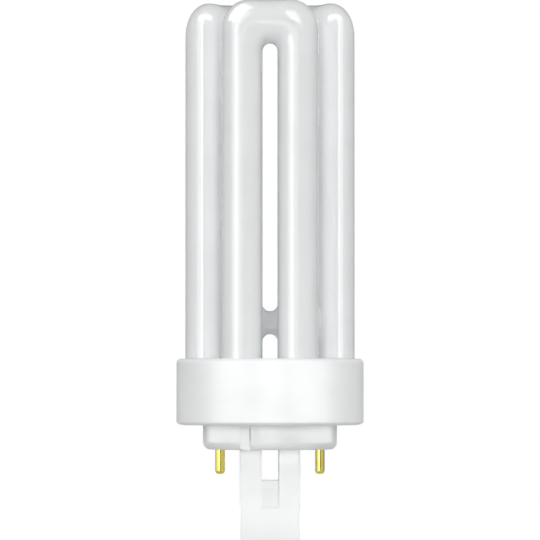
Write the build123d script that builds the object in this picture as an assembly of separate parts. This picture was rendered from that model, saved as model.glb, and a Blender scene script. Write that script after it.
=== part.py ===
from build123d import *
import math
import os

# Lamp frame: millimetres, +Z up along the tubes. The origin is the centre of the cap's reference
# face, the flat underside of the boss that rests on a lampholder. The front U faces -Y.

# Discharge tube
u_count = 3
tube_d = 10.6
leg_pitch = 14.5
u_offset = 15.28
tube_rise = 93.5
bend_crown = 11.7
shoulder_r = 7.75
crown_dip = 0.35
crown_dip_power = 12
bend_step_deg = 18
leg_depth = 8.0
leg_end_round = 3.2

# Glass bridges between neighbouring U bends
bridge_rise = 9.5
bridge_bow = 3.7
bridge_waist_height = 6.1
bridge_waist_depth = 4.2
bridge_root_height = 10.1
bridge_root_depth = 5.0
bridge_groove = 1.95
bridge_groove_power = 3.2
bridge_stations = 17

# Pressed seals at the two electrode ends
seal_width = 7.0
seal_thickness = 2.6
seal_length = 3.0
seal_sink = 2.0
seal_round = 0.8

# Collar
collar_height = 17.4
collar_margin = 2.29
collar_wall = 1.9
collar_top_thickness = 2.0
collar_top_round = 1.2
leg_hole_clearance = 0.25

# Cement inside the collar
cement_thickness = 4.5

# Base plug: flange under the collar, spigot inside it, boss and its two key slots
flange_thickness = 0.9
flange_round_run = 2.3
spigot_height = 2.0
spigot_clearance = 0.1
boss_d = 35.1
boss_height = 6.4
boss_round = 2.0
boss_wall = 1.8
boss_floor = 2.4
key_width = 2.62
key_offset = 6.4
key_depth = 1.5
key_height = 5.9

# Post with its latch windows and lead-in ramps
post_width = 15.8
post_depth = 15.0
post_length = 26.0
post_round = 0.7
post_foot_round = 0.8
post_wall = 1.5
post_floor = 2.0
window_width = 4.25
window_through = 8.0
window_height = 9.8
window_pocket = 2.4
channel_wall = 1.4
latch_depth = 0.7
latch_left_draft = 0.9
latch_right_draft = 0.35
latch_foot_draft = 0.8
ramp_height = 4.8
ramp_fall = 0.3
ramp_side_draft = 0.3

# Contact pins
pin_d = 2.4
pin_length = 6.3
pin_inset = 4.5
pin_pair_pitch = 8.0
pin_tip_round = 0.7
pin_seat_d = 3.0
pin_bore_clearance = 0.05
pin_tower_wall = 1.1
pin_tower_height = 2.4
pin_shoulder_overhang = 0.3
pin_shoulder_thickness = 0.6
pin_neck = 0.8
pin_solder_depth = 1.2

# Lead wires
wire_d = 0.5
wire_pitch = 3.2
wire_bore_clearance = 0.1
wire_drop = 1.5
wire_lift = 1.6
wire_turn = 1.1

# Places worked out from the sizes above
tube_r = tube_d / 2
leg_circle_r = math.hypot(leg_pitch / 2, u_offset)
leg_half_angle = math.atan2(leg_pitch / 2, u_offset)
link_half_angle = math.pi / u_count - leg_half_angle
link_half_span = leg_circle_r * math.sin(link_half_angle)
link_distance = leg_circle_r * math.cos(link_half_angle)

collar_r = leg_circle_r + tube_r + collar_margin
collar_inner_r = collar_r - collar_wall
collar_foot_z = boss_height + flange_thickness
collar_top_z = boss_height + collar_height
collar_roof_z = collar_top_z - collar_top_thickness
cement_foot_z = collar_roof_z - cement_thickness

tube_top_z = collar_top_z + tube_rise
crotch_z = tube_top_z - bend_crown
crotch_r = leg_pitch / 2 - tube_r
bend_z = crotch_z - crotch_r
bend_half_width = leg_pitch / 2 + tube_r
leg_foot_z = collar_top_z - leg_depth
seal_foot_z = leg_foot_z - seal_length
bridge_z = collar_top_z + bridge_rise

spigot_top_z = collar_foot_z + spigot_height
post_foot_z = -post_length
pin_r = pin_d / 2
pin_seat_r = pin_seat_d / 2
pin_x = boss_d / 2 - pin_inset
tower_top_z = boss_floor + pin_tower_height
shoulder_top_z = tower_top_z + pin_shoulder_thickness
pin_top_z = shoulder_top_z + pin_neck
solder_z = pin_top_z - pin_solder_depth
wire_r = wire_d / 2


def turned(shape, step, count):
    """The shape turned about the lamp axis by a number of equal steps."""
    return shape.rotate(Axis.Z, step * 360 / count)


def box_between(low, high):
    """A box from its lowest to its highest corner."""
    size = [b - a for a, b in zip(low, high)]
    return Pos(*low) * Box(*size, align=(Align.MIN, Align.MIN, Align.MIN))


def disc(radius, low_z, high_z):
    """A round solid on the lamp axis."""
    body = Cylinder(radius, high_z - low_z, align=(Align.CENTER, Align.CENTER, Align.MIN))
    return Pos(0, 0, low_z) * body


def post_at(x, y, radius, low_z, high_z):
    """An upright round solid away from the lamp axis."""
    return Pos(x, y, 0) * disc(radius, low_z, high_z)


def leg_places():
    """Centres of the legs in order round the lamp, starting at the front left."""
    places = []
    for u in range(u_count):
        centre = -math.pi / 2 + u * 2 * math.pi / u_count
        for side in (-1, 1):
            angle = centre + side * leg_half_angle
            places.append((leg_circle_r * math.cos(angle), leg_circle_r * math.sin(angle)))
    return places


def bend_reach(angle):
    """Distance from the crotch centre to a bend's outer outline, a round-shouldered square that
    dips a little at its middle."""
    run, rise = math.cos(angle), math.sin(angle)
    height = tube_top_z - bend_z
    corner_x = bend_half_width - shoulder_r
    corner_z = height - shoulder_r
    dip = crown_dip * rise**crown_dip_power
    if run * corner_z >= rise * bend_half_width:
        return bend_half_width / run - dip
    if rise * corner_x >= run * height:
        return height / rise - dip
    along = corner_x * run + corner_z * rise
    return along + math.sqrt(along**2 - corner_x**2 - corner_z**2 + shoulder_r**2) - dip


def bend_section(degrees):
    """One cross-section of a bend, an ellipse between its inner and outer outline."""
    angle = math.radians(degrees)
    run, rise = math.cos(angle), math.sin(angle)
    reach = bend_reach(angle)
    middle = (reach + crotch_r) / 2
    plane = Plane(
        origin=(middle * run, -u_offset, bend_z + middle * rise),
        x_dir=(run, 0, rise),
        z_dir=(-rise, 0, run),
    )
    return plane * Ellipse((reach - crotch_r) / 2, tube_r)


def u_bend():
    """The bend over the front pair of legs, lofted from the right leg to the crown and mirrored."""
    half = loft([bend_section(step) for step in range(0, 90 + bend_step_deg, bend_step_deg)])
    return half + half.mirror(Plane.YZ)


def bridge_section(along):
    """One cross-section of a bridge that lies at the front, an upright ellipse."""
    rise = 1 - math.exp(-((abs(along) / bridge_groove) ** bridge_groove_power))
    height = bridge_waist_height + (bridge_root_height - bridge_waist_height) * rise
    depth = bridge_waist_depth + (bridge_root_depth - bridge_waist_depth) * rise
    bow = bridge_bow * (1 - (along / link_half_span) ** 2)
    plane = Plane(origin=(along, bow - link_distance, bridge_z), x_dir=(0, 0, 1), z_dir=(1, 0, 0))
    return plane * Ellipse(height / 2, depth / 2)


def bridge():
    """A waisted glass bridge that bows towards the lamp axis, lofted between two leg centres."""
    last = bridge_stations - 1
    stations = [link_half_span * (2 * i / last - 1) for i in range(bridge_stations)]
    return loft([bridge_section(along) for along in stations])


def leg(side):
    """One straight leg of the front pair with a rounded foot."""
    body = post_at(side * leg_pitch / 2, -u_offset, tube_r, leg_foot_z, bend_z)
    return fillet(body.edges().group_by(Axis.Z)[0], leg_end_round)


def seal(u, side):
    """The pressed glass seal below an electrode leg, in line with its U."""
    block = Box(seal_width, seal_thickness, seal_length + seal_sink,
                align=(Align.CENTER, Align.CENTER, Align.MIN))
    block = fillet(block.edges().filter_by(Axis.Z), seal_round)
    block = Pos(side * leg_pitch / 2, -u_offset, seal_foot_z) * block
    return turned(block, u, u_count)


def discharge_tube():
    """Three U bends, two bridges and two pressed seals, fused into one glass vessel."""
    front_u = leg(-1) + leg(1) + u_bend()
    glass = front_u
    for u in range(1, u_count):
        glass += turned(front_u, u, u_count)
    for link in range(1, u_count):
        glass += bridge().rotate(Axis.Z, (link - 0.5) * 360 / u_count)
    glass += seal(0, -1)
    glass += seal(u_count - 1, 1)
    return glass


def collar():
    """The round housing: a closed top with six holes for the legs, open below."""
    body = disc(collar_r, collar_foot_z, collar_top_z)
    body = fillet(body.edges().group_by(Axis.Z)[-1], collar_top_round)
    body -= disc(collar_inner_r, collar_foot_z, collar_roof_z)
    for x, y in leg_places():
        body -= post_at(x, y, tube_r + leg_hole_clearance, collar_roof_z, collar_top_z)
    return body


def tube_cement():
    """The potting under the collar's top, moulded round the six legs."""
    body = disc(collar_inner_r, cement_foot_z, collar_roof_z)
    for x, y in leg_places():
        body -= post_at(x, y, tube_r, cement_foot_z, collar_roof_z)
    return body


def pin_places():
    """Centres of the pins: left pair, then right pair, front to back and back to front."""
    y = pin_pair_pitch / 2
    return [(-pin_x, -y), (-pin_x, y), (pin_x, y), (pin_x, -y)]


def flange():
    """The disc under the collar, its lower edge rounded as a quarter of a flat ellipse."""
    edge = EllipticalCenterArc((collar_r - flange_round_run, collar_foot_z), flange_round_run,
                               flange_thickness, start_angle=270, arc_size=90)
    outline = Polyline((collar_r, collar_foot_z), (0, collar_foot_z), (0, boss_height),
                       (collar_r - flange_round_run, boss_height))
    return revolve(Plane.XZ * make_face(edge + outline), Axis.Z)


def flange_and_boss():
    """The hollow round part of the plug that closes the collar."""
    body = flange() + disc(collar_inner_r - spigot_clearance, boss_height, spigot_top_z)
    body += fillet(disc(boss_d / 2, 0, spigot_top_z).edges().group_by(Axis.Z)[0], boss_round)
    body -= disc(boss_d / 2 - boss_wall, boss_floor, spigot_top_z)
    return body


def post_body():
    """The solid outside of the post."""
    body = Box(post_width, post_depth, post_length + boss_floor,
               align=(Align.CENTER, Align.CENTER, Align.MIN))
    body = fillet(body.edges().filter_by(Axis.Z), post_round)
    body = fillet(body.faces().sort_by(Axis.Z)[0].edges(), post_foot_round)
    return Pos(0, 0, post_foot_z) * body


def post_cores():
    """The two hollows beside the latch channel, open into the housing."""
    inner = window_width / 2 + channel_wall
    outer = post_width / 2 - post_wall
    reach = post_depth / 2 - post_wall
    core = box_between((inner, -reach, post_foot_z + post_floor), (outer, reach, boss_floor))
    return core + core.rotate(Axis.Z, 180)


def upright_face(low_x, high_x, low_z, high_z, y):
    """A flat rectangle that faces the front."""
    corners = [(low_x, low_z), (high_x, low_z), (high_x, high_z), (low_x, high_z)]
    return make_face(Polyline(*[(x, y, z) for x, z in corners], close=True))


def latch_recess():
    """What is cut from the front of the post: drafted pocket, deeper window and lead-in ramp."""
    face_y = -post_depth / 2
    left, right = -window_width / 2, window_width / 2
    sill_z = -window_height
    foot_z = sill_z - ramp_height
    floor_y = face_y + latch_depth
    pocket = loft([
        upright_face(left - latch_left_draft, right + latch_right_draft,
                     foot_z - latch_foot_draft, 0, face_y),
        upright_face(left, right, foot_z, 0, floor_y),
    ], ruled=True)
    window = box_between((left, face_y, sill_z), (right, face_y + window_pocket, 0))
    ramp = loft([
        upright_face(left, right, foot_z, sill_z, floor_y),
        upright_face(left + ramp_side_draft, right - ramp_side_draft, foot_z, foot_z + ramp_fall,
                     floor_y + ramp_fall),
    ], ruled=True)
    return pocket + window + ramp


def key_slot():
    """A key slot in the front of the boss, open below and cut square to the front."""
    wall_y = -math.sqrt((boss_d / 2) ** 2 - key_offset**2)
    low = (-key_offset - key_width / 2, -boss_d, 0)
    high = (-key_offset + key_width / 2, wall_y + key_depth, key_height)
    return box_between(low, high)


def base_plug():
    """Flange, boss and post in one moulding, with towers for the pins."""
    body = flange_and_boss() + post_body()
    bore_r = pin_seat_r + pin_bore_clearance
    for x, y in pin_places():
        body += post_at(x, y, bore_r + pin_tower_wall, 0, tower_top_z)
    for x, y in pin_places():
        body -= post_at(x, y, bore_r, 0, tower_top_z)
    body -= post_cores()
    body -= box_between((-window_width / 2, -post_depth / 2, -window_through),
                        (window_width / 2, post_depth / 2, 0))
    for cut in (latch_recess(), key_slot()):
        body -= cut
        body -= cut.rotate(Axis.Z, 180)
    return body


def contact_pin(x, y):
    """A turned pin: rounded tip, wider seat in its tower, shoulder, and soldering hole for its lead."""
    body = post_at(x, y, pin_r, -pin_length, 0)
    body = fillet(body.edges().group_by(Axis.Z)[0], pin_tip_round)
    body += post_at(x, y, pin_seat_r, 0, pin_top_z)
    body += post_at(x, y, pin_seat_r + pin_shoulder_overhang, tower_top_z, shoulder_top_z)
    body -= post_at(x, y, wire_r + wire_bore_clearance, solder_z, pin_top_z)
    return body


def seal_exit(u, side, wire_side):
    """Where one lead leaves the foot of a pressed seal."""
    local = Vector(side * leg_pitch / 2 + wire_side * wire_pitch / 2, -u_offset, seal_foot_z)
    return local.rotate(Axis.Z, u * 360 / u_count)


def lead_route(start, pin):
    """Corners of one lead: down from its seal, across the housing, and down into its pin."""
    end = Vector(pin[0], pin[1], solder_z)
    turn = Vector(end.X - start.X, end.Y - start.Y, 0).normalized() * wire_turn
    bend_off = start - Vector(0, 0, wire_drop)
    bend_in = Vector(end.X, end.Y, pin_top_z + wire_lift)
    lane_start = bend_off + turn - Vector(0, 0, wire_turn)
    lane_end = Vector(end.X, end.Y, lane_start.Z) - turn
    return [start, bend_off, lane_start, lane_end, bend_in, end]


def corner_radii(points):
    """The largest arc that each corner's two runs leave room for."""
    radii = []
    for before, corner, after in zip(points, points[1:], points[2:]):
        inward, outward = corner - before, after - corner
        half_turn = math.radians(inward.get_angle(outward)) / 2
        radii.append(0.45 * min(inward.length, outward.length) / math.tan(half_turn))
    return radii


def lead_wire(points):
    """A round wire swept along straight runs and tangent arcs."""
    radii = corner_radii(points)
    path = FilletPolyline(*points, radius=radii)
    start = Plane(origin=points[0], z_dir=points[1] - points[0])
    print("lead wire radii", [round(r, 2) for r in radii], "length", round(path.length, 1))
    return sweep(start * Circle(wire_r), path=path)


def lead_wires():
    """The left pair of pins is fed by the last leg, the right pair by the first leg."""
    pins = pin_places()
    last_u = u_count - 1
    routes = [
        lead_route(seal_exit(last_u, 1, 1), pins[0]),
        lead_route(seal_exit(last_u, 1, -1), pins[1]),
        lead_route(seal_exit(0, -1, -1), pins[2]),
        lead_route(seal_exit(0, -1, 1), pins[3]),
    ]
    return [lead_wire(route) for route in routes]


def lamp():
    """Every node of the lamp by name."""
    nodes = {
        "discharge_tube": discharge_tube(),
        "collar": collar(),
        "tube_cement": tube_cement(),
        "base_plug": base_plug(),
    }
    for number, (x, y) in enumerate(pin_places(), 1):
        nodes[f"contact_pin_{number}"] = contact_pin(x, y)
    for number, wire in enumerate(lead_wires(), 1):
        nodes[f"lead_wire_{number}"] = wire
    return nodes


os.makedirs("parts", exist_ok=True)
for name, solid in lamp().items():
    export_step(solid, f"parts/{name}.step")
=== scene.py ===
"""Glass, pins, finishes and studio of a plug-in fluorescent lamp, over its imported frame.

Lengths are metres in the lamp's own frame: +Z runs up the tubes, the front U faces -Y, and the
origin is the centre of the flat underside of the boss.
"""
import math

import bpy
import numpy as np
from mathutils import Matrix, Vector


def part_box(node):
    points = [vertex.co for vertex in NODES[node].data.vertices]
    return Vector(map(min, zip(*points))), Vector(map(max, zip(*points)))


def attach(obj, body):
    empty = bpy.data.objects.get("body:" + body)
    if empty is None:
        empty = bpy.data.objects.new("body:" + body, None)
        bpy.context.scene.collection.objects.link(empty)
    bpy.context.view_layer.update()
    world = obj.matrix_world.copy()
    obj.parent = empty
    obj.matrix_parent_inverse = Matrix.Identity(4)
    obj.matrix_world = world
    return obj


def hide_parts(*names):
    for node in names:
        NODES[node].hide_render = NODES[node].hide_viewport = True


bl_info = {
    "name": "Plug-in Fluorescent Lamp",
    "version": (1, 0, 0),
    "blender": (4, 5, 0),
    "location": "View3D > Sidebar > Lamp",
    "description": "Builds the glass, pins, finishes and studio of a plug-in fluorescent lamp",
    "category": "Object",
}

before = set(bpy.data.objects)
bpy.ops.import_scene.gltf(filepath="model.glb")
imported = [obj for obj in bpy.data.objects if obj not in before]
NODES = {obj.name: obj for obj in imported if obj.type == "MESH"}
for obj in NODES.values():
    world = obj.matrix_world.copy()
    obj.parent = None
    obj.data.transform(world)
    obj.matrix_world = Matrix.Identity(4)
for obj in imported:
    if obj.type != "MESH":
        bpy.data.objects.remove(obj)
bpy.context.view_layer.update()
COLLAR_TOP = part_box("collar")[1][2]
TUBE_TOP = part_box("discharge_tube")[1][2]
POST_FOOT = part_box("base_plug")[0][2]
GLASS_LOOK = "glass_over_white_coating"

# Degrees between two neighbouring U bends.
THIRD_TURN = 120
# Edges with more than this angle between their faces are shaded sharp.
SHARP_EDGE = math.radians(38)
# The height that the lights aim at, about the middle of the lamp.
LIT_HEIGHT = (COLLAR_TOP + TUBE_TOP) / 3
# Keeps a divisor away from nought.
TINY = 1e-9


def length(name, description, default):
    """A length in metres that the user may change."""
    return bpy.props.FloatProperty(name=name, description=description, default=default, min=0,
                                   precision=5, unit="LENGTH")


def colour(name, description, default):
    """A linear colour that the user may change."""
    return bpy.props.FloatVectorProperty(name=name, description=description, default=default,
                                         size=3, min=0, max=1, subtype="COLOR")


def share(name, description, default):
    """A share from nought to one that the user may change."""
    return bpy.props.FloatProperty(name=name, description=description, default=default, min=0,
                                   max=1, precision=3, subtype="FACTOR")


def power(name, description, default):
    """A light's power in watts that the user may change."""
    return bpy.props.FloatProperty(name=name, description=description, default=default, min=0,
                                   precision=3, unit="POWER")


def brightness(name, description, default):
    """A panel's radiance, in watts per square metre and steradian, that the user may change."""
    return bpy.props.FloatProperty(name=name, description=description, default=default, min=0,
                                   precision=3)


class GlassSizes(bpy.types.PropertyGroup):
    """Sizes and colours of the discharge tube."""

    tube_diameter: length("Tube diameter", "Outside diameter of the glass tube", 0.0106)
    leg_pitch: length("Leg pitch", "Distance between the two legs of one U", 0.0145)
    ring_offset: length("Ring offset", "From the lamp's axis to the plane of a U", 0.01528)
    rise: length("Rise", "How far the tubes stand above the collar", 0.09346)
    crown: length("Crown", "From the crotch of a U to its highest line", 0.01166)
    shoulder: length("Shoulder radius", "Outer radius of a U's two shoulders", 0.00775)
    dip: length("Crown dip", "How far the middle of a crown is sunk", 0.00035)
    leg_depth: length("Leg depth", "How far the legs go down into the collar", 0.008)
    foot_round: length("Foot radius", "Rounding at the closed foot of a leg", 0.0032)
    bridge_rise: length("Bridge rise", "Height of the bridges above the collar", 0.0095)
    bridge_bow: length("Bridge bow", "How far a bridge bends towards the axis", 0.0037)
    bridge_groove: length("Bridge groove", "Half width of a bridge's waist", 0.00195)
    waist_height: length("Waist height", "Height of a bridge at its waist", 0.0061)
    waist_depth: length("Waist depth", "Depth of a bridge at its waist", 0.0042)
    root_height: length("Root height", "Height of a bridge at its legs", 0.0101)
    root_depth: length("Root depth", "Depth of a bridge at its legs", 0.0050)
    seal_width: length("Seal width", "Width of a pressed seal", 0.0070)
    seal_thickness: length("Seal thickness", "Thickness of a pressed seal", 0.0026)
    seal_length: length("Seal length", "How far a seal reaches below its leg", 0.0030)
    seal_sink: length("Seal sink", "How far a seal reaches up into its leg", 0.0020)
    seal_edge: length("Seal edge", "Rounding at the foot of a seal", 0.0004)
    coating: colour("Coating", "Colour of the white coating seen through the glass",
                    (0.790, 0.802, 0.806))
    # This darker colour also gives the painted shade on the glass just above the collar, where the
    # tubes go in.
    thin_coating_and_foot_shade: colour("Thin coating", "Colour where the coating is thinner",
                         (0.745, 0.758, 0.764))
    gloss: share("Glass roughness", "Roughness of the glass surface", 0.05)


class PlasticLook(bpy.types.PropertyGroup):
    """Colours and surface of the collar and the plug."""

    white: colour("White", "Main colour of the moulding", (0.877, 0.886, 0.889))
    shade: colour("Shaded white", "Colour of the moulding's faint flow marks",
                  (0.842, 0.852, 0.856))
    roughness: share("Roughness", "Roughness of the satin surface", 0.33)
    grain: length("Grain", "Size of the spark-eroded grain", 0.00022)


class PinSizes(bpy.types.PropertyGroup):
    """Sizes and colours of the contact pins."""

    diameter: length("Pin diameter", "Diameter of the free part of a pin", 0.0024)
    reach: length("Pin length", "How far a pin stands below the boss", 0.0063)
    tip_round: length("Tip radius", "Rounding of a pin's tip", 0.0007)
    span: length("Pin span", "Distance between the left and the right pair", 0.0261)
    pair_pitch: length("Pair pitch", "Distance between the two pins of a pair", 0.008)
    seat_diameter: length("Seat diameter", "Diameter of a pin inside its tower", 0.0030)
    tower_top: length("Tower top", "Height of the towers that hold the pins", 0.0048)
    shoulder_thickness: length("Shoulder thickness", "Thickness of a pin's shoulder", 0.0006)
    shoulder_overhang: length("Shoulder overhang", "Overhang of a pin's shoulder", 0.0003)
    neck: length("Neck", "Height of a pin above its shoulder", 0.0008)
    hole_diameter: length("Hole diameter", "Diameter of the soldering hole", 0.0007)
    hole_depth: length("Hole depth", "Depth of the soldering hole", 0.0012)
    brass: colour("Brass", "Colour of the bright brass", (0.90, 0.78, 0.17))
    tarnish: colour("Tarnish", "Colour of the faintly tarnished brass", (0.74, 0.62, 0.10))


class InnerLook(bpy.types.PropertyGroup):
    """Colours of what the collar hides."""

    cement: colour("Cement", "Colour of the potting", (0.60, 0.57, 0.50))
    wire: colour("Wire", "Colour of the lead wires", (0.60, 0.59, 0.57))


class StudioSetup(bpy.types.PropertyGroup):
    """Camera, floor and lights."""

    distance: length("Camera distance", "From the camera to the lamp's axis", 1.7)
    height: length("Camera height", "Height of the camera above the origin", 0.017)
    aim: length("Aim height", "Height above the origin at the picture's centre", 0.04703)
    picture_width: length("Picture width", "Width of the view at the lamp's axis", 0.14148)
    floor_radius: length("Floor radius", "Radius of the white floor", 0.6)
    floor_hole: length("Floor hole", "Radius of the hole under the post's foot", 0.0115)
    ambient: share("Ambient", "Strength of the white surroundings as a light", 0.085)
    floor_seen: share("Floor in view", "How white the floor's surface is to the camera", 0.9)
    floor_tone: share("Floor tone", "How much light the floor throws back at the lamp", 0.6)
    floor_white: share("Floor white", "Light that the floor adds to the picture", 0.35)
    soft_distance: length("Soft light distance", "From a soft light to the lamp", 1.3)
    soft_size: length("Soft light size", "Width and height of a soft light", 0.5)
    front: power("Low front", "Soft light low in front", 7.4)
    high_front: power("High front", "Soft light high in front", 5.4)
    left: power("Left", "Soft light high on the left", 3.7)
    right: power("Right", "Soft light high on the right", 3.7)
    low_side: power("Low sides", "Soft light low on each side", 0.9)
    back: power("Back", "Soft light on each side behind", 9.0)
    under_distance: length("Under distance", "From the light below to the lamp", 0.5)
    under_size: length("Under size", "Width and depth of the light below", 0.02)
    under: power("Under", "Light on the post's foot", 1.6)
    panel_distance: length("Panel distance", "From a mirrored panel to the lamp", 0.6)
    panel: brightness("Panels", "Panels mirrored softly in the glass", 3.0)
    strip: brightness("Strips", "Strips mirrored sharply in the glass", 3.6)
    satin: brightness("Collar panels", "Panels mirrored in the collar", 2.6)
    plug_side: brightness("Plug sides", "Panels mirrored in the plug's sides", 6.0)
    plug_front: brightness("Plug front", "Panel mirrored in the plug's front", 2.7)
    bright: brightness("Bright pin panels", "Bright panels mirrored in the pins", 2.2)
    dim: brightness("Dim pin panel", "Dim panel mirrored in the pins", 0.30)


def closed_tube(name, rings, poles):
    """Mesh of a tube from rings (ring, point, xyz) whose points run anticlockwise about its path.

    Each quad joins point j and j + 1 of ring i with the same points of ring i + 1, and a fan of
    triangles joins the first and the last ring to the two pole points.
    """
    count, around = rings.shape[:2]
    index = np.arange(count * around).reshape(count, around)
    ahead = np.roll(index, -1, axis=1)
    quads = np.stack([index[:-1], ahead[:-1], ahead[1:], index[1:]], axis=-1).reshape(-1, 4)
    first, last = count * around, count * around + 1
    low = np.stack([np.full(around, first), ahead[0], index[0]], axis=-1)
    high = np.stack([np.full(around, last), index[-1], ahead[-1]], axis=-1)
    points = np.concatenate([rings.reshape(-1, 3), np.asarray(poles, float)])
    mesh = bpy.data.meshes.new(name)
    mesh.from_pydata(points.tolist(), [], quads.tolist() + low.tolist() + high.tolist())
    mesh.polygons.foreach_set("use_smooth", np.ones(len(mesh.polygons), bool))
    mesh.set_sharp_from_angle(angle=SHARP_EDGE)
    mesh.validate()
    return mesh


def turned_profile(name, radii, heights, place, around=72):
    """Surface of revolution about an upright line through place.

    Each profile point (r, z) becomes a ring x + r cos, y + r sin, z. The profile runs up the
    outside, and a point on the line closes each end.
    """
    x, y = place
    turn = np.linspace(0, 2 * np.pi, around, endpoint=False)
    r, z = radii[:, None], heights[:, None]
    rings = np.stack([x + r * np.cos(turn), y + r * np.sin(turn), z + 0 * turn], axis=-1)
    return closed_tube(name, rings, [(x, y, heights[0]), (x, y, heights[-1])])


def about_axis(points, degrees):
    """The points turned about the lamp's axis: x cos - y sin, x sin + y cos."""
    turn = math.radians(degrees)
    matrix = np.array([[math.cos(turn), math.sin(turn), 0],
                       [-math.sin(turn), math.cos(turn), 0], [0, 0, 1]])
    return points @ matrix


def add_piece(mesh, material, node):
    """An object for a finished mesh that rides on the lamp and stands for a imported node."""
    piece = bpy.data.objects.new(mesh.name, mesh)
    bpy.context.scene.collection.objects.link(piece)
    mesh.materials.append(material)
    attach(piece, "root")
    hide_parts(node)


def add_glass(name, shape, degrees, sizes):
    """A glass piece from the rings and poles of its shape, turned about the lamp's axis."""
    rings, poles = shape
    mesh = closed_tube(name, about_axis(rings, degrees), about_axis(poles, degrees))
    add_piece(mesh, coated_glass(sizes), "discharge_tube")


def refinish(node, material):
    """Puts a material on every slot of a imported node."""
    if node not in NODES:
        raise RuntimeError(f"the packed lamp has no {node}")
    for slot in NODES[node].material_slots:
        slot.material = material


def bend_reach(turn, sizes, dip_power=12):
    """Distance from the crotch's centre to a bend's outline in the direction turn.

    The outline is a rectangle, half as wide as the U and as high as its crown, whose corners are
    arcs of the shoulder radius. The crown's middle is sunk by dip times sin to the dip power.
    """
    tube_r = sizes.tube_diameter / 2
    half_width = sizes.leg_pitch / 2 + tube_r
    height = sizes.crown + sizes.leg_pitch / 2 - tube_r
    corner_x, corner_z = half_width - sizes.shoulder, height - sizes.shoulder
    run, rise = np.abs(np.cos(turn)), np.abs(np.sin(turn))
    along = corner_x * run + corner_z * rise
    room = along**2 - corner_x**2 - corner_z**2 + sizes.shoulder**2
    corner = along + np.sqrt(np.maximum(room, 0))
    side = half_width / np.maximum(run, TINY)
    top = height / np.maximum(rise, TINY)
    reach = np.where(run * corner_z >= rise * half_width, side,
                     np.where(rise * corner_x >= run * height, top, corner))
    return reach - sizes.dip * rise**dip_power


def leg_line(sizes, foot_z, bend_z, foot_steps=9, leg_steps=24):
    """Heights and radii of a leg's rings: a quarter circle at the foot, then the straight tube."""
    tube_r = sizes.tube_diameter / 2
    turn = np.linspace(0.0, np.pi / 2, foot_steps)
    foot_heights = foot_z + sizes.foot_round * (1 - np.cos(turn))
    foot_radii = tube_r - sizes.foot_round * (1 - np.sin(turn))
    leg_heights = np.linspace(foot_heights[-1], bend_z, leg_steps + 1)[1:-1]
    heights = np.concatenate([foot_heights, leg_heights])
    radii = np.concatenate([foot_radii, np.full(len(leg_heights), tube_r)])
    return heights, radii


def u_shape(sizes, around=112, bend_steps=88):
    """Rings and poles of the front U, from the right foot over the crown to the left foot.

    Each ring is an ellipse. In the bend its centre lies half way between the crotch's arc and
    the outline, one half axis is half the distance between them, and the other is the tube's
    radius. On the legs both are the leg's radius.
    """
    half_pitch, tube_r = sizes.leg_pitch / 2, sizes.tube_diameter / 2
    crotch_r = half_pitch - tube_r
    foot_z = COLLAR_TOP - sizes.leg_depth
    bend_z = COLLAR_TOP + sizes.rise - sizes.crown - crotch_r
    up_z, up_r = leg_line(sizes, foot_z, bend_z)
    turn = np.linspace(0.0, np.pi, bend_steps + 1)
    reach = bend_reach(turn, sizes)
    middle, across = (reach + crotch_r) / 2, (reach - crotch_r) / 2
    leg_x, upright = np.full(len(up_z), half_pitch), np.zeros(len(up_z))
    centre_x = np.concatenate([leg_x, middle * np.cos(turn), -leg_x])[:, None]
    centre_z = np.concatenate([up_z, bend_z + middle * np.sin(turn), up_z[::-1]])[:, None]
    half_across = np.concatenate([up_r, across, up_r[::-1]])[:, None]
    half_deep = np.concatenate([up_r, np.full(len(turn), tube_r), up_r[::-1]])[:, None]
    lean = np.concatenate([upright, turn, upright + np.pi])[:, None]
    phase = np.linspace(0, 2 * np.pi, around, endpoint=False)
    outward = half_across * np.cos(phase)
    x = centre_x + outward * np.cos(lean)
    y = half_deep * np.sin(phase) - sizes.ring_offset
    z = centre_z + outward * np.sin(lean)
    poles = np.array([(side * half_pitch, -sizes.ring_offset, foot_z) for side in (1, -1)])
    return np.stack([x, y, z], axis=-1), poles


def bridge_shape(sizes, stations=65, around=64, waist_power=3.2):
    """Rings and poles of a bridge that lies at the front, from its left leg to its right one.

    Each ring is an upright ellipse. From the waist out, height and depth grow as one minus
    exp(-(distance / groove) to the waist power), and the centre line is a parabola that bows
    towards the lamp's axis.
    """
    half_gap = math.radians(THIRD_TURN / 2)
    leg_turn = math.atan2(sizes.leg_pitch / 2, sizes.ring_offset)
    circle = math.hypot(sizes.leg_pitch / 2, sizes.ring_offset)
    span = circle * math.sin(half_gap - leg_turn)
    away = circle * math.cos(half_gap - leg_turn)
    along = np.linspace(-span, span, stations)
    grown = 1 - np.exp(-((np.abs(along) / sizes.bridge_groove) ** waist_power))
    high = (sizes.waist_height + (sizes.root_height - sizes.waist_height) * grown) / 2
    deep = (sizes.waist_depth + (sizes.root_depth - sizes.waist_depth) * grown) / 2
    bow = sizes.bridge_bow * (1 - (along / span) ** 2) - away
    phase = np.linspace(0, 2 * np.pi, around, endpoint=False)
    y = bow[:, None] + deep[:, None] * np.cos(phase)
    z = COLLAR_TOP + sizes.bridge_rise + high[:, None] * np.sin(phase)
    x = along[:, None] + 0 * phase
    poles = np.array([(along[i], bow[i], COLLAR_TOP + sizes.bridge_rise) for i in (0, -1)])
    return np.stack([x, y, z], axis=-1), poles


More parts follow.
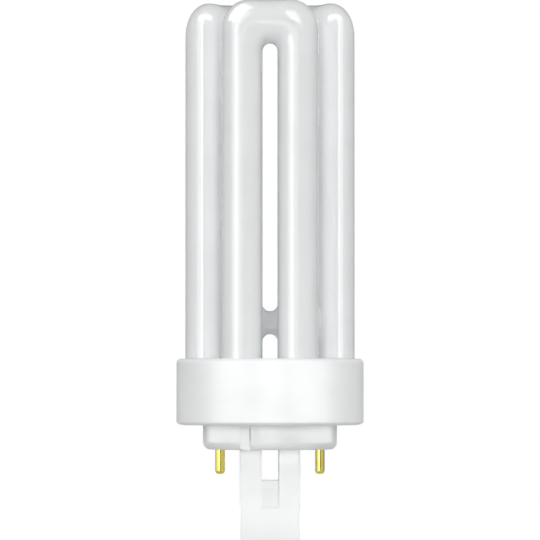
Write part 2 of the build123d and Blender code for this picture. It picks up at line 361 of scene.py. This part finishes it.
def seal_shape(sizes, side, around=64, edge_steps=6, power_of_oval=5):
    """Rings and poles of a pressed seal under a leg of the front U, from its foot up.

    Each ring is a flat superellipse, whose x and y are cos and sin to the power 2 / 5. At the
    foot it shrinks along a quarter circle. Side is -1 for the left leg and 1 for the right one.
    """
    middle_x = side * sizes.leg_pitch / 2
    foot_z = COLLAR_TOP - sizes.leg_depth - sizes.seal_length
    top_z = COLLAR_TOP - sizes.leg_depth + sizes.seal_sink
    turn = np.linspace(0, np.pi / 2, edge_steps)
    inset = np.concatenate([sizes.seal_edge * (1 - np.sin(turn)), [0.0]])
    heights = np.concatenate([foot_z + sizes.seal_edge * (1 - np.cos(turn)), [top_z]])
    phase = np.linspace(0, 2 * np.pi, around, endpoint=False)
    cos, sin = np.cos(phase), np.sin(phase)
    oval_x = np.sign(cos) * np.abs(cos) ** (2 / power_of_oval)
    oval_y = np.sign(sin) * np.abs(sin) ** (2 / power_of_oval)
    x = middle_x + (sizes.seal_width / 2 - inset)[:, None] * oval_x
    y = (sizes.seal_thickness / 2 - inset)[:, None] * oval_y - sizes.ring_offset
    rings = np.stack([x, y, heights[:, None] + 0 * phase], axis=-1)
    poles = np.array([(middle_x, -sizes.ring_offset, z) for z in (foot_z, top_z)])
    return rings, poles


class Nodes:
    """Short way to write a material's node tree."""

    def __init__(self, name, metallic=0.0, ior=1.5):
        self.material = bpy.data.materials.new(name)
        self.material.use_nodes = True
        self.tree = self.material.node_tree
        self.shader = self.tree.nodes["Principled BSDF"]
        self.shader.inputs["Metallic"].default_value = metallic
        self.shader.inputs["IOR"].default_value = ior
        self.place = self.tree.nodes.new("ShaderNodeTexCoord").outputs["Object"]

    def add(self, kind, settings=None, **inputs):
        """A node of that kind with its inputs set to values or joined to outputs."""
        node = self.tree.nodes.new("ShaderNode" + kind)
        for key, value in (settings or {}).items():
            setattr(node, key, value)
        for key, value in inputs.items():
            self.join(node.inputs[key.replace("_", " ")], value)
        return node

    def join(self, socket, value):
        """Sets a socket or joins an output to it."""
        if isinstance(value, bpy.types.NodeSocket):
            self.tree.links.new(value, socket)
        else:
            socket.default_value = value

    def noise(self, scale, detail, stretch=(1, 1, 1)):
        """Smooth noise over the object's own coordinates, finer along the axes with a stretch."""
        place = self.add("Mapping", Vector=self.place, Scale=stretch).outputs["Vector"]
        return self.add("TexNoise", Vector=place, Scale=scale, Detail=detail).outputs["Fac"]

    def spread(self, value, low, high, to_low=0.0, to_high=1.0):
        """Value between low and high mapped onto the range asked for, smoothly at both ends."""
        node = self.add("MapRange", {"interpolation_type": "SMOOTHSTEP"}, Value=value,
                        From_Min=low, From_Max=high, To_Min=to_low, To_Max=to_high)
        return node.outputs["Result"]

    def blend(self, factor, first, second):
        """Mix of two colours. Inputs 6 and 7 and output 2 of the node are its colours."""
        node = self.add("Mix", {"data_type": "RGBA"})
        self.join(node.inputs[0], factor)
        self.join(node.inputs[6], (*first, 1.0))
        self.join(node.inputs[7], (*second, 1.0))
        return node.outputs[2]

    def combine(self, operation, first, second):
        """Two numbers added or multiplied."""
        node = self.add("Math", {"operation": operation})
        self.join(node.inputs[0], first)
        self.join(node.inputs[1], second)
        return node.outputs[0]

    def bump(self, height, depth, strength, under=None):
        """Bump of a height from nought to one and a depth in metres, over another bump if given."""
        node = self.add("Bump", Height=height, Distance=depth, Strength=strength)
        if under is not None:
            self.join(node.inputs["Normal"], under)
        return node.outputs["Normal"]

    def dress(self, **outputs):
        """Joins outputs to the shader's sockets and returns the material."""
        for socket, value in outputs.items():
            self.join(self.shader.inputs[socket.replace("_", " ")], value)
        return self.material


def coated_glass(sizes):
    """Clear glass over a white coating: cloudy density, faint runs down the legs, draw lines.

    Painted shade darkens the glass from just under the collar's top to a little above it.
    """
    if GLASS_LOOK in bpy.data.materials:
        return bpy.data.materials[GLASS_LOOK]
    m = Nodes(GLASS_LOOK, ior=1.52)
    clouds = m.spread(m.noise(scale=85.0, detail=4.0), 0.35, 0.72)
    streaks = m.noise(scale=1.0, detail=5.0, stretch=(620.0, 620.0, 9.0))
    runs = m.spread(streaks, 0.42, 0.80)
    density = m.combine("ADD", m.combine("MULTIPLY", clouds, 0.55),
                        m.combine("MULTIPLY", runs, 0.45))
    height = m.add("SeparateXYZ", Vector=m.place).outputs["Z"]
    # Painted shade: the glass turns towards the darker thin coating colour from 9 mm above the
    # collar's top down to 1 mm under it, where the tubes go into the collar.
    foot = m.spread(height, COLLAR_TOP - 0.001, COLLAR_TOP + 0.009, to_low=0.55, to_high=0.0)
    base = m.blend(m.combine("ADD", density, foot), sizes.coating, sizes.thin_coating_and_foot_shade)
    haze = m.spread(m.noise(scale=260.0, detail=4.0), 0.3, 0.8,
                    to_low=sizes.gloss * 0.75, to_high=sizes.gloss * 1.35)
    draw_lines = m.noise(scale=1.0, detail=2.0, stretch=(900.0, 900.0, 14.0))
    drawn = m.bump(draw_lines, depth=0.00002, strength=0.30)
    wavy = m.bump(m.noise(scale=120.0, detail=2.0), depth=0.00006, strength=0.25, under=drawn)
    return m.dress(Base_Color=base, Roughness=haze, Normal=wavy)


def satin_plastic(look):
    """White moulding: faint flow marks, spark-eroded grain and a slightly uneven satin."""
    m = Nodes("satin_plastic", ior=1.49)
    flow = m.spread(m.noise(scale=60.0, detail=5.0, stretch=(1.0, 1.0, 2.4)), 0.38, 0.75)
    base = m.blend(flow, look.white, look.shade)
    uneven = m.spread(m.noise(scale=180.0, detail=4.0), 0.3, 0.75,
                      to_low=look.roughness * 0.94, to_high=look.roughness * 1.06)
    eroded = m.noise(scale=1.0 / look.grain, detail=2.0)
    grain = m.bump(eroded, depth=0.000012, strength=0.20)
    soft = m.bump(m.noise(scale=150.0, detail=2.0), depth=0.00004, strength=0.15, under=grain)
    return m.dress(Base_Color=base, Roughness=uneven, Normal=soft)


def turned_brass(sizes):
    """Bright brass with turning rings and a faint tarnish that gathers in cloudy patches."""
    m = Nodes("turned_brass", metallic=1.0)
    patches = m.spread(m.noise(scale=420.0, detail=3.0), 0.40, 0.85, to_high=0.35)
    base = m.blend(patches, sizes.brass, sizes.tarnish)
    cuts = m.noise(scale=1.0, detail=2.0, stretch=(0.0, 0.0, 6000.0))
    rough = m.spread(cuts, 0.3, 0.75, to_low=0.12, to_high=0.17)
    rings = m.bump(cuts, depth=0.000002, strength=0.10)
    return m.dress(Base_Color=base, Roughness=rough, Normal=rings)


def potting(look):
    """Cement with coarse and fine grain and small pits."""
    m = Nodes("potting_cement", ior=1.45)
    cells = m.add("TexVoronoi", Vector=m.place, Scale=1400.0).outputs["Distance"]
    speck = m.spread(cells, 0.15, 0.6)
    dusty = m.combine("MULTIPLY", speck, m.noise(scale=500.0, detail=5.0))
    dark = tuple(0.72 * part for part in look.cement)
    base = m.blend(dusty, dark, look.cement)
    rough = m.spread(m.noise(scale=900.0, detail=3.0), 0.3, 0.7, to_low=0.78, to_high=0.94)
    pits = m.bump(speck, depth=0.00018, strength=0.6)
    lumps = m.bump(m.noise(scale=450.0, detail=4.0), depth=0.00025, strength=0.5, under=pits)
    return m.dress(Base_Color=base, Roughness=rough, Normal=lumps)


def drawn_wire(look):
    """Tinned wire with fine drawing marks."""
    m = Nodes("drawn_wire", metallic=1.0)
    marks = m.spread(m.noise(scale=3800.0, detail=4.0), 0.35, 0.75)
    dark = tuple(0.70 * part for part in look.wire)
    base = m.blend(marks, look.wire, dark)
    rough = m.spread(m.noise(scale=2500.0, detail=3.0), 0.3, 0.75, to_low=0.26, to_high=0.44)
    fine = m.bump(m.noise(scale=6000.0, detail=2.0), depth=0.00001, strength=0.5)
    return m.dress(Base_Color=base, Roughness=rough, Normal=fine)


def studio_white(setup):
    """Floor: white to the camera, less bright as a light on the lamp, and clear from below."""
    m = Nodes("studio_white")
    m.shader.inputs["Roughness"].default_value = 0.7
    m.shader.inputs["Specular IOR Level"].default_value = 0.0
    m.shader.inputs["Emission Color"].default_value = (1, 1, 1, 1)
    seen = m.add("LightPath").outputs["Is Camera Ray"]
    base = m.blend(seen, (setup.floor_tone,) * 3, (setup.floor_seen,) * 3)
    glow = m.combine("MULTIPLY", seen, setup.floor_white)
    m.dress(Base_Color=base, Emission_Strength=glow)
    below = m.add("NewGeometry").outputs["Backfacing"]
    surface = m.add("MixShader", Fac=below)
    m.join(surface.inputs[1], m.shader.outputs["BSDF"])
    m.join(surface.inputs[2], m.add("BsdfTransparent").outputs["BSDF"])
    m.join(m.tree.nodes["Material Output"].inputs["Surface"], surface.outputs["Shader"])
    return m.material


class LAMP_OT_glass_bends(bpy.types.Operator):
    """Build the three tall U bends of coated glass"""

    bl_idname = "lamp.glass_bends"
    bl_label = "Glass bends"

    def execute(self, context):
        sizes = context.scene.lamp_glass
        shape = u_shape(sizes)
        for number, name in enumerate(("glass_bend_front", "glass_bend_right", "glass_bend_left")):
            add_glass(name, shape, number * THIRD_TURN, sizes)
        return {"FINISHED"}


class LAMP_OT_glass_joins(bpy.types.Operator):
    """Build the glass bridges between the bends and the pressed seals under the electrode legs"""

    bl_idname = "lamp.glass_joins"
    bl_label = "Glass bridges and seals"

    def execute(self, context):
        sizes = context.scene.lamp_glass
        bridge = bridge_shape(sizes)
        add_glass("glass_bridge_right", bridge, THIRD_TURN / 2, sizes)
        add_glass("glass_bridge_rear", bridge, THIRD_TURN * 3 / 2, sizes)
        add_glass("pressed_seal_front", seal_shape(sizes, side=-1), 0, sizes)
        add_glass("pressed_seal_left", seal_shape(sizes, side=1), THIRD_TURN * 2, sizes)
        return {"FINISHED"}


class LAMP_OT_contact_pins(bpy.types.Operator):
    """Build the four turned brass contact pins"""

    bl_idname = "lamp.contact_pins"
    bl_label = "Contact pins"

    def profile(self, sizes, tip_steps=8):
        """Radii and heights from the tip up the outside and down into the soldering hole.

        The tip is rounded along a quarter circle. A ring a fifth of its radius higher keeps the
        smooth shading of the tip off the shaft.
        """
        shaft, seat, hole = sizes.diameter / 2, sizes.seat_diameter / 2, sizes.hole_diameter / 2
        shoulder = seat + sizes.shoulder_overhang
        shoulder_top = sizes.tower_top + sizes.shoulder_thickness
        top = shoulder_top + sizes.neck
        turn = np.linspace(0, np.pi / 2, tip_steps)
        tip = np.stack([shaft - sizes.tip_round * (1 - np.sin(turn)),
                        sizes.tip_round * (1 - np.cos(turn)) - sizes.reach], axis=-1)
        above = [(shaft, 1.2 * sizes.tip_round - sizes.reach), (shaft, 0), (seat, 0),
                 (seat, sizes.tower_top), (shoulder, sizes.tower_top), (shoulder, shoulder_top),
                 (seat, shoulder_top), (seat, top), (hole, top), (hole, top - sizes.hole_depth)]
        return np.concatenate([tip, above]).T

    def execute(self, context):
        sizes = context.scene.lamp_pins
        material = turned_brass(sizes)
        radii, heights = self.profile(sizes)
        x, y = sizes.span / 2, sizes.pair_pitch / 2
        for number, place in enumerate(((-x, -y), (-x, y), (x, y), (x, -y)), 1):
            mesh = turned_profile(f"brass_pin_{number}", radii, heights, place)
            add_piece(mesh, material, f"contact_pin_{number}")
        return {"FINISHED"}


class LAMP_OT_housing(bpy.types.Operator):
    """Finish the collar and the base plug in satin white plastic"""

    bl_idname = "lamp.housing"
    bl_label = "Collar and base plug"

    def execute(self, context):
        material = satin_plastic(context.scene.lamp_plastic)
        for node in ("collar", "base_plug"):
            refinish(node, material)
        return {"FINISHED"}


class LAMP_OT_inner_parts(bpy.types.Operator):
    """Finish the cement and the lead wires inside the housing"""

    bl_idname = "lamp.inner_parts"
    bl_label = "Cement and lead wires"

    def execute(self, context):
        look = context.scene.lamp_inner
        refinish("tube_cement", potting(look))
        wire = drawn_wire(look)
        for number in range(1, 5):
            refinish(f"lead_wire_{number}", wire)
        return {"FINISHED"}


class LAMP_OT_studio(bpy.types.Operator):
    """Set up the white floor, the soft lights, the mirrored panels and the camera"""

    bl_idname = "lamp.studio"
    bl_label = "Studio"

    def floor(self, setup, around=96):
        """A flat ring at the post's foot: its points lie on two circles, joined by quads."""
        turn = np.linspace(0, 2 * np.pi, around, endpoint=False)
        circle = np.stack([np.cos(turn), np.sin(turn), 0 * turn], axis=-1)
        points = np.concatenate([circle * setup.floor_hole, circle * setup.floor_radius])
        points[:, 2] = POST_FOOT
        inner = np.arange(around)
        ahead = np.roll(inner, -1)
        quads = np.stack([inner, inner + around, ahead + around, ahead], axis=-1)
        mesh = bpy.data.meshes.new("studio_floor")
        mesh.from_pydata(points.tolist(), [], quads.tolist())
        mesh.materials.append(studio_white(setup))
        ring = bpy.data.objects.new("studio_floor", mesh)
        bpy.context.scene.collection.objects.link(ring)

    def surroundings(self, setup):
        """White all round: seen at full white, and giving the ambient strength as a light."""
        world = bpy.data.worlds.new("studio_surroundings")
        bpy.context.scene.world = world
        world.use_nodes = True
        tree = world.node_tree
        tree.nodes.clear()
        path = tree.nodes.new("ShaderNodeLightPath")
        level = tree.nodes.new("ShaderNodeMapRange")
        level.inputs["To Min"].default_value = setup.ambient
        level.inputs["To Max"].default_value = 1.0
        white = tree.nodes.new("ShaderNodeBackground")
        white.inputs["Color"].default_value = (1, 1, 1, 1)
        out = tree.nodes.new("ShaderNodeOutputWorld")
        tree.links.new(path.outputs["Is Camera Ray"], level.inputs["Value"])
        tree.links.new(level.outputs["Result"], white.inputs["Strength"])
        tree.links.new(white.outputs["Background"], out.inputs["Surface"])

    def camera(self, setup):
        """A far camera straight in front, its view as wide as the picture at the lamp's axis."""
        data = bpy.data.cameras.new("studio_camera")
        data.sensor_width = 36.0
        data.lens = data.sensor_width * setup.distance / setup.picture_width
        data.clip_start, data.clip_end = 0.05, 20.0
        camera = bpy.data.objects.new("studio_camera", data)
        bpy.context.scene.collection.objects.link(camera)
        camera.location = (0, -setup.distance, setup.height)
        tilt = math.atan2(setup.aim - setup.height, setup.distance)
        camera.rotation_euler = (math.pi / 2 + tilt, 0, 0)
        bpy.context.scene.camera = camera

    def add_light(self, name, azimuth, elevation, distance, size, watts):
        """A rectangular light without gloss, aimed at the lamp's middle.

        Azimuth 0 is straight in front of the lamp, and a positive one lies on its right.
        """
        data = bpy.data.lights.new(name, "AREA")
        data.shape = "RECTANGLE"
        data.size, data.size_y = size
        data.energy = watts
        light = bpy.data.objects.new(name, data)
        bpy.context.scene.collection.objects.link(light)
        turn, rise = math.radians(azimuth), math.radians(elevation)
        light.location = (distance * math.sin(turn) * math.cos(rise),
                          -distance * math.cos(turn) * math.cos(rise),
                          distance * math.sin(rise) + LIT_HEIGHT)
        light.rotation_euler = (math.pi / 2 - rise, 0, turn)
        light.visible_camera = False
        light.visible_glossy = False
        return light

    def soft_lights(self, setup):
        """Lights that shade the whole lamp. Rows: name, azimuth, elevation, watts."""
        size = (setup.soft_size, setup.soft_size)
        rows = (
            ("front_light", 0, 5, setup.front),
            ("high_front_light", 0, 42, setup.high_front),
            ("left_light", -90, 45, setup.left),
            ("right_light", 90, 45, setup.right),
            ("low_left_light", -75, 5, setup.low_side),
            ("low_right_light", 75, 5, setup.low_side),
            ("back_left_light", -145, 15, setup.back),
            ("back_right_light", 145, 15, setup.back),
        )
        for name, azimuth, elevation, watts in rows:
            self.add_light(name, azimuth, elevation, setup.soft_distance, size, watts)
        size = (setup.under_size, setup.under_size)
        self.add_light("under_light", 0, -90, setup.under_distance, size, setup.under)

    def mirrored(self, setup, pieces, rows):
        """Lights that show only as reflections in a few pieces.

        Rows: name, azimuth, elevation, width, height, radiance. The watts are pi times the
        radiance times width and height.
        """
        lit = bpy.data.collections.new("lit_" + pieces[0])
        for piece in pieces:
            lit.objects.link(bpy.data.objects[piece])
        for name, azimuth, elevation, width, height, radiance in rows:
            watts = radiance * math.pi * width * height
            size = (width, height)
            light = self.add_light(name, azimuth, elevation, setup.panel_distance, size, watts)
            light.visible_glossy = True
            light.visible_diffuse = False
            light.light_linking.receiver_collection = lit

    def glass_panels(self, setup):
        """Tall panels and strips for the legs, patches and bars for the crowns."""
        panel, strip = setup.panel, setup.strip
        self.mirrored(setup, ["glass_bend_front"], (
            ("front_panel", -39, 18, 0.44, 0.9, panel),
            ("front_strip", -35, 18, 0.12, 0.9, strip),
            ("front_left_patch", -70, 55, 0.5, 0.56, 1.6 * strip),
            ("front_right_patch", 18, 38, 0.2, 0.34, 1.4 * strip),
            ("front_soft_panel", -14, 0, 0.32, 0.22, 0.7 * panel),
        ))
        self.mirrored(setup, ["glass_bend_left"], (
            ("left_panel", -33, 18, 0.36, 0.9, panel),
            ("left_strip", -21, 18, 0.10, 0.9, strip),
            ("left_bar", -8, 64, 0.9, 0.22, 1.6 * strip),
        ))
        self.mirrored(setup, ["glass_bend_right"], (
            ("right_panel", 40, 18, 0.26, 0.9, panel),
            ("right_strip", 27, 18, 0.10, 0.9, strip),
            ("right_bar", 8, 64, 0.9, 0.22, 1.6 * strip),
        ))

    def housing_panels(self, setup):
        """Broad panels for the satin collar and the plug."""
        satin = setup.satin
        self.mirrored(setup, [NODES["collar"].name], (
            ("collar_panel", 0, 5, 0.9, 0.8, satin),
            ("collar_left_panel", -53, 5, 0.42, 0.8, 1.5 * satin),
            ("collar_right_panel", 54, 5, 0.46, 0.8, 1.5 * satin),
        ))
        self.mirrored(setup, [NODES["base_plug"].name], (
            ("plug_left_panel", -88, 5, 1.0, 0.6, setup.plug_side),
            ("plug_right_panel", 88, 5, 1.0, 0.6, setup.plug_side),
            ("plug_front_panel", 0, -5, 0.5, 0.4, setup.plug_front),
        ))

    def pin_panels(self, setup):
        """A sharp strip between softer and dimmer panels for the brass pins."""
        self.mirrored(setup, [f"brass_pin_{number}" for number in range(1, 5)], (
            ("pin_left_panel", -72, 0, 1.0, 0.4, 0.5 * setup.bright),
            ("pin_strip", -17, 0, 0.13, 1.2, 3.8 * setup.bright),
            ("pin_soft_strip", -36, 0, 0.24, 1.2, 0.8 * setup.bright),
            ("pin_right_panel", 58, 0, 1.2, 0.4, 1.8 * setup.dim),
        ))

    def execute(self, context):
        setup = context.scene.lamp_studio
        context.scene.view_settings.view_transform = "Standard"
        self.floor(setup)
        self.surroundings(setup)
        self.camera(setup)
        self.soft_lights(setup)
        self.glass_panels(setup)
        self.housing_panels(setup)
        self.pin_panels(setup)
        return {"FINISHED"}


class LAMP_PT_sidebar(bpy.types.Panel):
    """The lamp's sizes and build steps"""

    bl_label = "Plug-in fluorescent lamp"
    bl_idname = "LAMP_PT_sidebar"
    bl_space_type = "VIEW_3D"
    bl_region_type = "UI"
    bl_category = "Lamp"

    def draw(self, context):
        for group, steps in STEPS:
            box = self.layout.box()
            settings = getattr(context.scene, group)
            for name in settings.bl_rna.properties.keys():
                if name not in ("rna_type", "name"):
                    box.prop(settings, name)
            for step in steps:
                box.operator(step)


GROUPS = {
    "lamp_glass": GlassSizes,
    "lamp_plastic": PlasticLook,
    "lamp_pins": PinSizes,
    "lamp_inner": InnerLook,
    "lamp_studio": StudioSetup,
}
STEPS = (
    ("lamp_glass", ("lamp.glass_bends", "lamp.glass_joins")),
    ("lamp_pins", ("lamp.contact_pins",)),
    ("lamp_plastic", ("lamp.housing",)),
    ("lamp_inner", ("lamp.inner_parts",)),
    ("lamp_studio", ("lamp.studio",)),
)
CLASSES = (*GROUPS.values(), LAMP_OT_glass_bends, LAMP_OT_glass_joins, LAMP_OT_contact_pins,
           LAMP_OT_housing, LAMP_OT_inner_parts, LAMP_OT_studio, LAMP_PT_sidebar)


def register():
    """Registers the classes and hangs each group of settings on the scene."""
    for cls in CLASSES:
        bpy.utils.register_class(cls)
    for name, group in GROUPS.items():
        setattr(bpy.types.Scene, name, bpy.props.PointerProperty(type=group))


def unregister():
    """Takes the settings and the classes away again."""
    for name in GROUPS:
        delattr(bpy.types.Scene, name)
    for cls in reversed(CLASSES):
        bpy.utils.unregister_class(cls)


def main():
    """Registers the add-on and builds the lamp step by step."""
    register()
    bpy.ops.lamp.glass_bends()
    bpy.ops.lamp.glass_joins()
    bpy.ops.lamp.contact_pins()
    bpy.ops.lamp.housing()
    bpy.ops.lamp.inner_parts()
    bpy.ops.lamp.studio()


if __name__ == "__main__":
    main()
